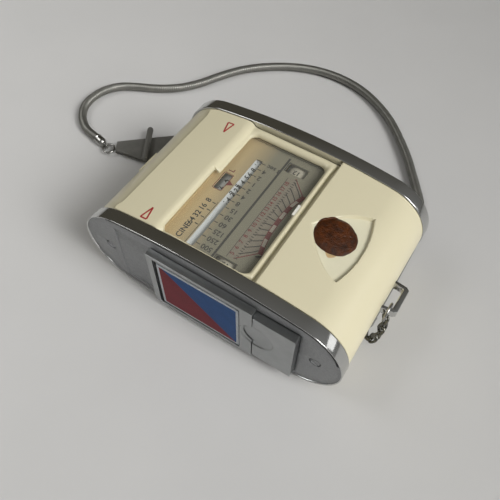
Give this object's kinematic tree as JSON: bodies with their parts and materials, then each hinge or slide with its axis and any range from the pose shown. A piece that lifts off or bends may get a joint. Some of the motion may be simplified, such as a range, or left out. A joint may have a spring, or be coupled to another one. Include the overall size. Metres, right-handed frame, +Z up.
{
  "type": "selenium light meter",
  "caption": "Hand-held selenium light meter: oval cream case with chrome rims, exposure dial, roller blind over the cell, colour slide and a neck chain with a spring clip.",
  "frame": {"origin": "centre of the flat land on the rear cover, on the surface that the meter lies on", "axes": "+X along the body toward the strap lug, +Y toward the end with the setting wheel, +Z up out of the dial"},
  "size_m": [0.1527, 0.1329, 0.036],
  "materials": {
    "cream_plastic": "aged gloss",
    "chrome": "polished",
    "matte_metal": "matt cast",
    "steel": "plain",
    "brass": "plain",
    "iron": "plain",
    "black_plastic": "matt",
    "pale_plastic": "printed",
    "clear": "clear",
    "selenium": "dark grey",
    "lead_cover": "plain",
    "dial_paint": "satin",
    "copper_wire": "wound",
    "card": "printed",
    "adhesive": "dried"
  },
  "bodies": {
    "housing": {"right_casing": "cream_plastic", "front_panel": "cream_plastic", "rear_cover": "cream_plastic", "blind_liner": "cream_plastic", "near_rim": "chrome", "far_rim": "chrome", "strap_lug": "chrome", "near_end_plate": "matte_metal", "far_end_plate": "matte_metal", "near_screw_left": "steel", "near_screw_right": "steel", "far_screw_left": "steel", "far_screw_right": "steel", "tie_rod_left": "steel", "tie_rod_right": "steel", "chassis_plate": "steel", "lug_ring": "steel", "link_chain": "steel", "snake_chain": "steel", "body_end_cap": "steel", "clip_end_cap": "steel", "clip_ring": "steel", "clip_base": "steel", "clip_pin": "steel", "near_bearing_plate": "brass", "far_bearing_plate": "brass", "upper_bridge": "brass", "upper_jewel_screw": "brass", "lower_jewel_screw": "brass", "upper_hairspring": "brass", "lower_hairspring": "brass", "cell_contact_plate": "brass", "clip_spring": "brass", "magnet_ring": "iron", "iron_core": "iron", "pane_spacer": "black_plastic", "window_pane": "clear", "cell_lens": "clear", "selenium_cell": "selenium", "cell_lead": "lead_cover", "dial_plate": "dial_paint", "emblem_adhesive": "adhesive"},
    "colour_slide": {"slide_frame": "chrome", "colour_slide": "matte_metal", "colour_card": "card"},
    "roller_blind": {"roller_blind": "cream_plastic"},
    "setting_drum": {"aperture_drum": "pale_plastic", "setting_shaft": "steel", "setting_wheel": "black_plastic"},
    "film_speed_drum": {"film_speed_drum": "pale_plastic", "film_speed_shaft": "steel", "film_speed_knob": "matte_metal"},
    "needle": {"needle": "black_plastic", "moving_coil": "copper_wire", "upper_pivot": "steel", "lower_pivot": "steel"},
    "clip_lever": {"clip_lever": "steel"}
  },
  "joints": [
    {"name": "colour_slide_travel", "type": "slide", "parent": "housing", "child": "colour_slide", "axis": [-1, 0, 0], "range_m": [0, 0.0125]},
    {"name": "blind_roll", "type": "hinge", "parent": "housing", "child": "roller_blind", "pos_m": [-0.0298, 0, 0.01785], "axis": [0, -1, 0], "range_deg": [0, 82]},
    {"name": "setting_turn", "type": "hinge", "parent": "housing", "child": "setting_drum", "pos_m": [-0.0126, 0, 0.0233], "axis": [0, 1, 0], "range_deg": [-40, 280]},
    {"name": "film_speed_turn", "type": "hinge", "parent": "housing", "child": "film_speed_drum", "pos_m": [0.0021, 0, 0.0254], "axis": [0, 1, 0], "range_deg": [-120, 120]},
    {"name": "needle_swing", "type": "hinge", "parent": "housing", "child": "needle", "pos_m": [0.031, -0.0023, 0], "axis": [0, 0, -1], "range_deg": [0, 60], "stiffness_Nm_per_rad": 0.0002},
    {"name": "clip_jaw", "type": "hinge", "parent": "housing", "child": "clip_lever", "pos_m": [-0.06326, 0.01897, 0.0042], "axis": [0.4939, -0.8695, 0], "range_deg": [0, 10], "stiffness_Nm_per_rad": 0.03, "deforming": ["clip_spring"]}
  ]
}
